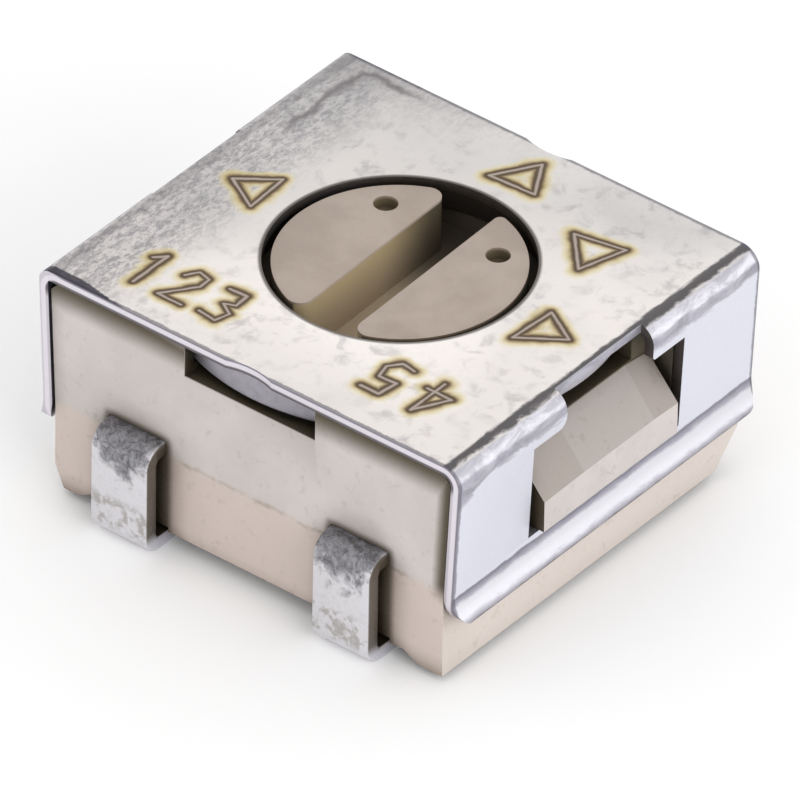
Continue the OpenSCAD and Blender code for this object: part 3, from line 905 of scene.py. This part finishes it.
def burnt_marks(sheet):
    """Colour of the burnt strokes, and their share of the top."""
    distance = stroke_distance(sheet, STROKES, BURN_WOBBLE)
    heat = sheet.ramp(sheet.noise(4.0, 3), 0.35, 0.65, 0.86, 1.18)
    burn = sheet.tree.nodes.new("ShaderNodeValToRGB")
    sheet.link(sheet.times(distance, heat, 1 / BURN_REACH), burn.inputs[0])
    elements = burn.color_ramp.elements
    while len(elements) < len(BURN_STOPS):
        elements.new(0.5)
    for element, (spot, shade, share) in zip(elements, BURN_STOPS):
        element.position = spot
        element.color = (*hex_colour(shade), share)
    flat_top = sheet.times(sheet.ramp(sheet.up, 0.97, 0.995), sheet.ramp(sheet.z, TOP - 0.03, TOP - 0.01))
    return burn.outputs[0], sheet.times(burn.outputs[1], flat_top)


def cover_material():
    """Plated sheet with a flat marked top, folds with painted highlights and shade, flat legs, lips with a
    painted highlight, and cut edges.
    """
    sheet = Sheet()
    top, soil = top_colour(sheet)
    leg = lip_colour(sheet, leg_colour(sheet))
    level = sheet.ramp(sheet.times(sheet.up, sheet.ramp(sheet.z, TOP - 0.3, TOP - 0.25)), 0.8, 0.9)
    colour = add_dark_lines(sheet, sheet.mix(level, leg, top))
    cut = sheet.ramp(sheet.size(sheet.facing[1]), 0.55, 0.8)
    colour = sheet.mix(cut, colour, cut_face_colour(sheet))
    # Painted shade on the rim round the hole
    hole_rim = sheet.ramp(sheet.from_axis(), HOLE_R + 0.045, HOLE_R + 0.012, 0.0, 0.9)
    colour = sheet.mix(hole_rim, colour, "#544d47")
    burn, burnt = burnt_marks(sheet)
    sheet.set("Base Color", sheet.mix(burnt, colour, burn))
    metal = sheet.times(sheet.ramp(burnt, 0.0, 1.0, 0.82, 0.1), sheet.ramp(soil, 0.0, 1.0, 1.0, 0.75))
    sheet.set("Metallic", metal)
    rough = sheet.ramp(sheet.fine, 0.3, 0.7, 0.34, 0.5)
    sheet.set("Roughness", sheet.math("ADD", rough, sheet.times(burnt, 0.2), clamp=True))
    relief = sheet.plus(sheet.times(sheet.fine, 0.35), sheet.times(sheet.scratches, 0.4))
    sheet.bump(sheet.minus(relief, sheet.times(burnt, 0.8)), 0.25, 0.01)
    return sheet.material


# Moulded resin of the housing and the rotor

class Resin(Nodes):
    """Matt moulded resin, with painted shade that makes it darker and browner in its hollows."""

    def __init__(self, name, light, dark, shade):
        super().__init__(name)
        self.cloud = self.noise(1.6, 4, 0.55)
        self.fine = self.noise(26.0, 3, 0.65)
        self.shade = shade
        self.colour = self.mix(self.ramp(self.cloud, 0.35, 0.65), light, dark)

    def stain(self, share, shade):
        self.colour = self.mix(share, self.colour, shade)

    def finish(self, reach, closed, wide_open, lit_share=None):
        """Spots, and painted shade in hollows that are narrower than reach, weaker on the lit sides that
        the last argument marks.
        """
        self.stain(self.ramp(self.noise(7.0, 3, 0.7), 0.56, 0.72, 0.0, 0.18), self.shade)
        # Painted shade in the hollows, weakened on the lit sides
        hollow = self.tree.nodes.new("ShaderNodeAmbientOcclusion")
        hollow.samples = 4
        hollow.inputs["Distance"].default_value = reach * MM
        dark = self.ramp(hollow.outputs["AO"], closed, wide_open, 1.0, 0.0)
        if lit_share is not None:
            dark = self.times(dark, self.minus(1.0, self.times(lit_share, 0.85)))
        self.colour = self.mix(dark, self.colour, self.shade, "MULTIPLY")
        self.set("Base Color", self.colour)
        self.set("Roughness", self.ramp(self.fine, 0.3, 0.7, 0.5, 0.68))
        self.set("Specular IOR Level", 0.35)
        self.bump(self.plus(self.fine, self.cloud), 0.3, 0.008)


def parting_line_and_painted_shade(resin):
    """Front wall: its parting line, and painted shadow under the cover, beside its legs and round the
    terminals.
    """
    x, z = resin.x, resin.z
    side = resin.size(x)
    front = resin.ramp(resin.facing[1], -0.5, -0.8)
    wander = resin.ramp(resin.noise(5.0, 4, 0.7), 0.3, 0.7, -0.02, 0.02)
    line = resin.size(resin.plus(resin.minus(z, PARTING_Z), wander))
    strength = resin.ramp(resin.noise(3.2, 4, 0.7), 0.42, 0.66, 0.08, 0.5)
    strength = resin.times(strength, front, resin.ramp(x, 1.95, 1.75), resin.ramp(x, -1.9, -1.2))
    resin.stain(resin.times(resin.ramp(line, 0.004, 0.04, 1.0, 0.0), strength), "#8d8070")
    # Painted shadow on the front wall under the cover's top and beside its legs
    below_top = resin.math("POWER", resin.ramp(resin.minus(UNDER, z), 0.02, 0.31, 0.96, 0.0), 0.7)
    slant = resin.times(resin.minus(z, LIP_Z), math.tan(LEG_LEAN))
    inside = resin.minus(resin.plus(BODY_W / 2, slant), side)
    beside = resin.times(resin.math("POWER", resin.ramp(inside, 0.02, 0.15, 0.95, 0.0), 0.6),
                         resin.ramp(z, LIP_Z - 0.15, LIP_Z + 0.1), resin.ramp(x, 0.0, 1.0, 0.15, 1.0))
    resin.stain(resin.times(resin.larger(below_top, beside), front), "#483e2a")
    # Painted shadow on the front wall round the terminals
    beyond = resin.larger(resin.minus(resin.size(resin.minus(side, PITCH / 2)), TERM_W / 2), 0.0)
    above = resin.larger(resin.minus(z, TERM_TOP), 0.0)
    terminal_shadow = resin.ramp(resin.length(resin.join(beyond, above, 0.0)), 0.0, 0.1, 0.8, 0.0)
    resin.stain(resin.times(terminal_shadow, front), "#4b4030")


def tone_sides(resin):
    """Sides: painted light that makes the side faces pale below the lip, and painted shade that makes the
    wedges' ramps greyer. Returns the pale share.
    """
    y, z, level = resin.y, resin.z, resin.facing[2]
    # Painted light on the faces that look to the sides below the lip, a little darker towards the front
    pale = resin.times(resin.ramp(resin.size(resin.facing[0]), 0.5, 0.8),
                       resin.ramp(z, LIP_Z - 0.05, LIP_Z - 0.55))
    resin.stain(pale, resin.mix(resin.ramp(y, -1.4, -2.1, 0.0, 0.8), "#cec4bd", "#c4bab2"))
    # Painted shade on the wedges' ramps, which face up, and more of it on their tilted ends
    ramp = resin.times(resin.ramp(level, 0.15, 0.4), resin.ramp(level, 0.9, 0.8))
    resin.stain(resin.times(ramp, 0.95), "#a69e99")
    ends = resin.larger(resin.ramp(y, RAMP_CREASE_NEAR + 0.01, RAMP_CREASE_NEAR - 0.01),
                        resin.ramp(y, RAMP_CREASE_FAR - 0.01, RAMP_CREASE_FAR + 0.01))
    resin.stain(resin.times(ramp, ends, 0.3), "#8d8078")
    return pale


def darken_recesses(resin):
    """Painted shade: olive in the reliefs under the ring, and dark in the pockets beside the wedges."""
    z = resin.z
    side, depth = resin.size(resin.x), resin.size(resin.y)
    pocket_x = BODY_W / 2 - POCKET_DEPTH
    recess = resin.times(resin.ramp(depth, WALL_Y - 0.004, WALL_Y - 0.014),
                         resin.ramp(side, pocket_x + 0.012, pocket_x + 0.004),
                         resin.ramp(z, PARTING_Z + 0.05, PARTING_Z + 0.1))
    resin.stain(resin.times(recess, 0.95), "#473f28")
    # Painted shade in the gaps beside the wedges' far ends
    gap = resin.times(resin.ramp(depth, WEDGE_FAR + 0.005, WEDGE_FAR + 0.01),
                      resin.ramp(depth, WINDOW_WIDE_W / 2 + 0.02, WINDOW_WIDE_W / 2 + 0.012),
                      resin.ramp(z, SILL_Z - 0.02, SILL_Z), resin.ramp(side, pocket_x - 0.02, pocket_x))
    resin.stain(resin.times(gap, 0.92), "#4a463a")


def housing_material():
    """Grey above the parting line and browner below it."""
    resin = Resin("housing", "#c3bbb8", "#bab3af", "#6b5f44")
    resin.stain(resin.ramp(resin.z, PARTING_Z + 0.06, PARTING_Z - 0.06, 0.0, 0.8), "#c2b3aa")
    parting_line_and_painted_shade(resin)
    pale = tone_sides(resin)
    darken_recesses(resin)
    resin.finish(0.3, 0.35, 0.95, pale)
    return resin.material


def rotor_material():
    """Brownish face, and a slot and blind holes in painted light and shade: lighter deep down, and darker
    towards the far end and by the rim.
    """
    resin = Resin("rotor", "#ad9f94", "#a19388", "#9c8d70")
    resin.finish(0.4, 0.1, 0.95)
    # Painted light lightens the slot deep down; painted shade darkens its far end and the edge by the rim
    depth = resin.minus(ROTOR_TOP, resin.z)
    olive = resin.mix(resin.ramp(depth, 0.05, 0.5), "#a39271", "#b5a48c")
    olive = resin.mix(resin.ramp(resin.y, 0.0, 0.95, 0.0, 0.9), olive, "#352e24")
    olive = resin.mix(resin.ramp(resin.from_axis(), ROTOR_R - 0.03, ROTOR_R - 0.01), olive, "#4d453b")
    resin.set("Base Color", resin.mix(resin.ramp(depth, 0.015, 0.035), resin.colour, olive))
    return resin.material


# Plain materials, and the metal of the ring and the terminals

class Plain(Nodes):
    """Two tones in fine grain and broad clouds."""

    def __init__(self, name, light, dark, metallic, roughness, scale):
        super().__init__(name)
        fine = self.noise(scale, 6, 0.7, distortion=0.4)
        cloud = self.noise(scale / 6, 4, 0.6)
        share = self.math("ADD", self.ramp(fine, 0.45, 0.7, 0.0, 0.5), self.ramp(cloud, 0.4, 0.7, 0.0, 0.4),
                          clamp=True)
        self.colour = self.mix(share, light, dark)
        self.set("Base Color", self.colour)
        self.set("Metallic", metallic)
        self.set("Roughness", self.ramp(fine, 0.3, 0.7, *roughness))
        self.bump(fine, 0.3, 0.006)


def ring_material():
    """Steel, with painted shade that makes it darker on the front and nearly black in the bore."""
    steel = Plain("bearing_ring", "#b6b3bb", "#8d8a92", 0.7, (0.4, 0.55), 9.0)
    # Painted shade on the front and in the bore
    colour = steel.mix(steel.ramp(steel.y, -0.4, -1.3, 0.0, 0.6), steel.colour, "#87838b")
    colour = steel.mix(steel.ramp(steel.from_axis(), BORE_R + 0.04, BORE_R + 0.01), colour, "#3d3631")
    steel.set("Base Color", colour)
    return steel.material


def terminal_material():
    """Tin plating: mottled grey painted shade over the upper bend, where the tin is also a little less
    metallic, and bright on the upright face.
    """
    tin = Nodes("terminal")
    x, y, z = tin.x, tin.y, tin.z
    fine = tin.noise(13.0, 6, 0.75, distortion=0.8)
    blotch = tin.noise(5.5, 5, 0.65, distortion=0.5)
    # Distance from the middle line of the nearer terminal
    middle = tin.size(tin.minus(tin.size(x), PITCH / 2))
    middle = tin.math("MINIMUM", middle, tin.plus(tin.size(x), tin.ramp(y, 0.0, 1.0, 9.0, 0.0)))
    # Painted shade: a grey, mottled dome over the upper bend
    dome = tin.plus(tin.times(middle, middle, 2.4), tin.minus(TERM_TOP, z))
    dull_and_shaded = tin.ramp(tin.plus(dome, tin.ramp(blotch, 0.3, 0.7, -0.14, 0.14)), 0.22, 0.48, 1.0, 0.0)
    grey = tin.mix(tin.ramp(fine, 0.35, 0.68), "#5e5c60", "#9a999e")
    bright = tin.mix(tin.ramp(fine, 0.52, 0.74, 0.0, 0.35), "#d6d4d8", "#a9a8ac")
    # Faint brown blotches low on the face
    blotted = tin.times(tin.ramp(tin.noise(9.0, 3, 0.6, distortion=0.3), 0.46, 0.62, 0.0, 0.6),
                        tin.ramp(z, 0.55, 0.42), tin.ramp(z, 0.1, 0.22))
    bright = tin.mix(blotted, bright, "#8f897f")
    colour = tin.mix(dull_and_shaded, bright, grey)
    # Painted shade makes the inside of the bend and the flanks brownish, and the foot is bright again
    inner_y = WALL_Y + TERM_REACH - TERM_T
    within = tin.times(tin.ramp(tin.size(y), inner_y + 0.02, inner_y),
                       tin.ramp(z, TERM_T - 0.02, TERM_T - 0.005),
                       tin.ramp(z, TERM_TOP - 0.02, TERM_TOP - 0.06))
    colour = tin.mix(within, colour, "#40372a")
    flank = tin.ramp(tin.size(tin.facing[0]), 0.6, 0.9, 0.0, 0.9)
    colour = tin.mix(flank, colour, tin.mix(tin.ramp(z, 0.1, 0.24), "#d2d1da", "#5e5548"))
    tin.set("Base Color", colour)
    tin.set("Metallic", tin.ramp(dull_and_shaded, 0.0, 1.0, 0.75, 0.6))
    tin.set("Roughness", tin.ramp(fine, 0.3, 0.7, 0.36, 0.55))
    tin.bump(tin.plus(fine, tin.times(blotch, 0.6)), 0.5, 0.014)
    return tin.material


finish_mesh(cover, cover_material(), "cover", "base", "cover", smooth=40)
finish_mesh(housing, housing_material(), "housing", "base", "housing")
finish_mesh(ring, ring_material(), "bearing_ring", "base", "bearing_ring")
finish_mesh(rotor, rotor_material(), "rotor", "turning", "rotor")
tin_plate = terminal_material()
for terminal, node_name in ((terminal_start, "terminal_start"), (terminal_end, "terminal_end"),
                            (terminal_wiper, "terminal_wiper")):
    finish_mesh(terminal, tin_plate, "terminal", "base", node_name)

# The parts inside keep the frame's meshes and get a finish of their own
SILVER = Plain("silver", "#cfccc6", "#a8a49d", 0.7, (0.4, 0.6), 20.0)
INSIDE = {
    "o_ring": Plain("o_ring", "#3d3b39", "#2c2b2a", 0.0, (0.5, 0.7), 14.0),
    "wiper": Plain("wiper", "#d3bb85", "#b39a66", 0.9, (0.25, 0.4), 12.0),
    "element_substrate": Plain("element", "#f1efe9", "#dedbd3", 0.0, (0.5, 0.7), 20.0),
    "resistive_track": Plain("track", "#2b2a2a", "#1c1b1b", 0.0, (0.4, 0.55), 18.0),
}
for silver_node in ("collector_track", "pad_start", "pad_end", "bond_start", "bond_end", "bond_wiper"):
    INSIDE[silver_node] = SILVER
for node_name, nodes in INSIDE.items():
    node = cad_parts[node_name]
    node.data.materials.clear()
    node.data.materials.append(nodes.material)


# Floor and backdrop

FLOOR_HALF = 0.5
floor_mesh = bpy.data.meshes.new("floor")
floor_corners = [(x * FLOOR_HALF, y * FLOOR_HALF, 0) for x, y in ((-1, -1), (1, -1), (1, 1), (-1, 1))]
floor_mesh.from_pydata(floor_corners, [], [(0, 1, 2, 3)])
floor = new_object("floor", floor_mesh)
floor_nodes = Nodes("floor")
floor_nodes.set("Base Color", (0.97, 0.97, 0.97, 1.0))
floor_nodes.set("Roughness", 0.9)
floor_nodes.set("Specular IOR Level", 0.0)
floor_mesh.materials.append(floor_nodes.material)


# Light: a pale tent, brightest low down, and a softbox on the right

world = bpy.data.worlds.new("tent")
bpy.context.scene.world = world
world.use_nodes = True
tree = world.node_tree
background = tree.nodes["Background"]
direction = tree.nodes.new("ShaderNodeTexCoord")
axes = tree.nodes.new("ShaderNodeSeparateXYZ")
tree.links.new(direction.outputs["Generated"], axes.inputs[0])
height = tree.nodes.new("ShaderNodeMapRange")
height.interpolation_type = "SMOOTHSTEP"
tree.links.new(axes.outputs[2], height.inputs["Value"])
for key, number in (("From Min", 0.1), ("From Max", 0.62), ("To Min", 1.6), ("To Max", 0.9)):
    height.inputs[key].default_value = number
tree.links.new(height.outputs[0], background.inputs["Strength"])
background.inputs["Color"].default_value = (1.0, 1.0, 1.0, 1.0)


KEY_PLACE = Vector((0.09, -0.03, 0.05))
KEY_AIM = Vector((0, 0, 0.001))
key_light = bpy.data.lights.new("key", "AREA")
key_light.shape = "RECTANGLE"
key_light.size = 0.07
key_light.size_y = 0.05
key_light.energy = 0.028
key = new_object("key", key_light)
key.location = KEY_PLACE
key.rotation_euler = (KEY_AIM - KEY_PLACE).to_track_quat("-Z", "Y").to_euler()


# Camera, nearly parallel as in the photo

AZIMUTH = math.radians(38.08)
ELEVATION = math.radians(36.925)
ROLL = math.radians(0.99)
DISTANCE = 193.0
AIM_DROP = 1.259
LENS = 973.2

right = Vector((math.cos(AZIMUTH), math.sin(AZIMUTH), 0))
towards = Vector((math.sin(AZIMUTH) * math.cos(ELEVATION), -math.cos(AZIMUTH) * math.cos(ELEVATION),
                  math.sin(ELEVATION)))
up = towards.cross(right)
screen_right = math.cos(ROLL) * right + math.sin(ROLL) * up
screen_up = math.cos(ROLL) * up - math.sin(ROLL) * right
aim = Vector((0, 0, TOP)) - AIM_DROP * screen_up
camera = new_object("camera", bpy.data.cameras.new("camera"))
camera.data.sensor_width = 36
camera.data.lens = LENS
camera.data.clip_start = 0.01
camera.data.clip_end = 5
camera.matrix_world = Matrix.Translation((aim + DISTANCE * towards) * MM) @ Matrix(
    (screen_right, screen_up, towards)).transposed().to_4x4()
bpy.context.scene.camera = camera
bpy.context.scene.view_settings.view_transform = "Standard"
